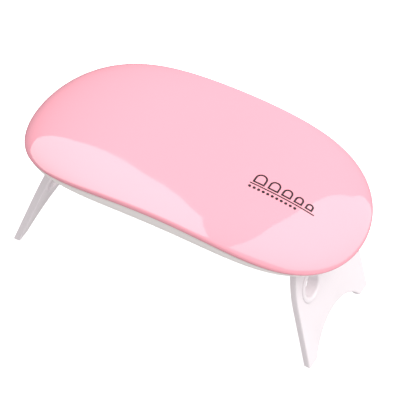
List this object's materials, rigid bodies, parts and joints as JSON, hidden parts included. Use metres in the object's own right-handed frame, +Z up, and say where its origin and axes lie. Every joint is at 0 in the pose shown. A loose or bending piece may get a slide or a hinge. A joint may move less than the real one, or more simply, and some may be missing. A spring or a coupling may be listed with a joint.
{
  "type": "uv led nail lamp",
  "caption": "Arched pink shell on two splayed folding white legs, with lamps underneath that cure nail gel.",
  "frame": {"origin": "on the table surface, under the middle of the lamp, midway between the four feet", "axes": "+X along the long axis towards the right leg, +Y to the side with the power socket and button, +Z up"},
  "size_m": [0.135, 0.0734, 0.0613],
  "materials": {
    "cover_pink": "glossy pink injection-moulded plastic",
    "housing_white": "satin white plastic",
    "leg_white": "satin white plastic",
    "button_white": "satin white plastic",
    "steel": "plated steel",
    "reflector": "vacuum-metallised plastic",
    "board_aluminium": "white-masked aluminium board",
    "board_green": "green glass-fibre board",
    "lamp_package": "ceramic lamp body",
    "lamp_lens": "clear silicone lens",
    "contact_gold": "gold-plated contacts",
    "black_plastic": "black plastic",
    "plunger": "natural nylon",
    "ferrite": "coated ferrite",
    "capacitor_body": "fired ceramic",
    "wire_red": "red insulation",
    "wire_black": "black insulation"
  },
  "bodies": {
    "shell": {"top_cover": "cover_pink", "bottom_housing": "housing_white", "case_screws": "steel", "reflector_plate": "reflector", "led_board": "board_aluminium", "led_packages": "lamp_package", "led_lenses": "lamp_lens", "led_board_screws": "steel", "main_board": "board_green", "main_board_screws": "steel", "usb_shell": "steel", "usb_tongue": "black_plastic", "usb_contacts": "contact_gold", "switch_body": "black_plastic", "controller_chip": "black_plastic", "driver_chip": "black_plastic", "inductor": "ferrite", "resistors": "black_plastic", "capacitors": "capacitor_body", "wire_red": "wire_red", "wire_black": "wire_black", "left_hinge_pin": "steel", "right_hinge_pin": "steel"},
    "left_leg": {"left_leg": "leg_white"},
    "right_leg": {"right_leg": "leg_white"},
    "button": {"power_button": "button_white", "switch_plunger": "plunger"}
  },
  "joints": [
    {"name": "left_leg_hinge", "type": "hinge", "parent": "shell", "child": "left_leg", "pos_m": [-0.04884, 0, 0.046], "axis": [0, -1, 0], "range_deg": [0, 98]},
    {"name": "right_leg_hinge", "type": "hinge", "parent": "shell", "child": "right_leg", "pos_m": [0.04884, 0, 0.046], "axis": [0, 1, 0], "range_deg": [0, 98]},
    {"name": "button_press", "type": "slide", "parent": "shell", "child": "button", "axis": [0, -1, 0], "range_m": [0, 0.0003], "stiffness_N_per_m": 600}
  ]
}
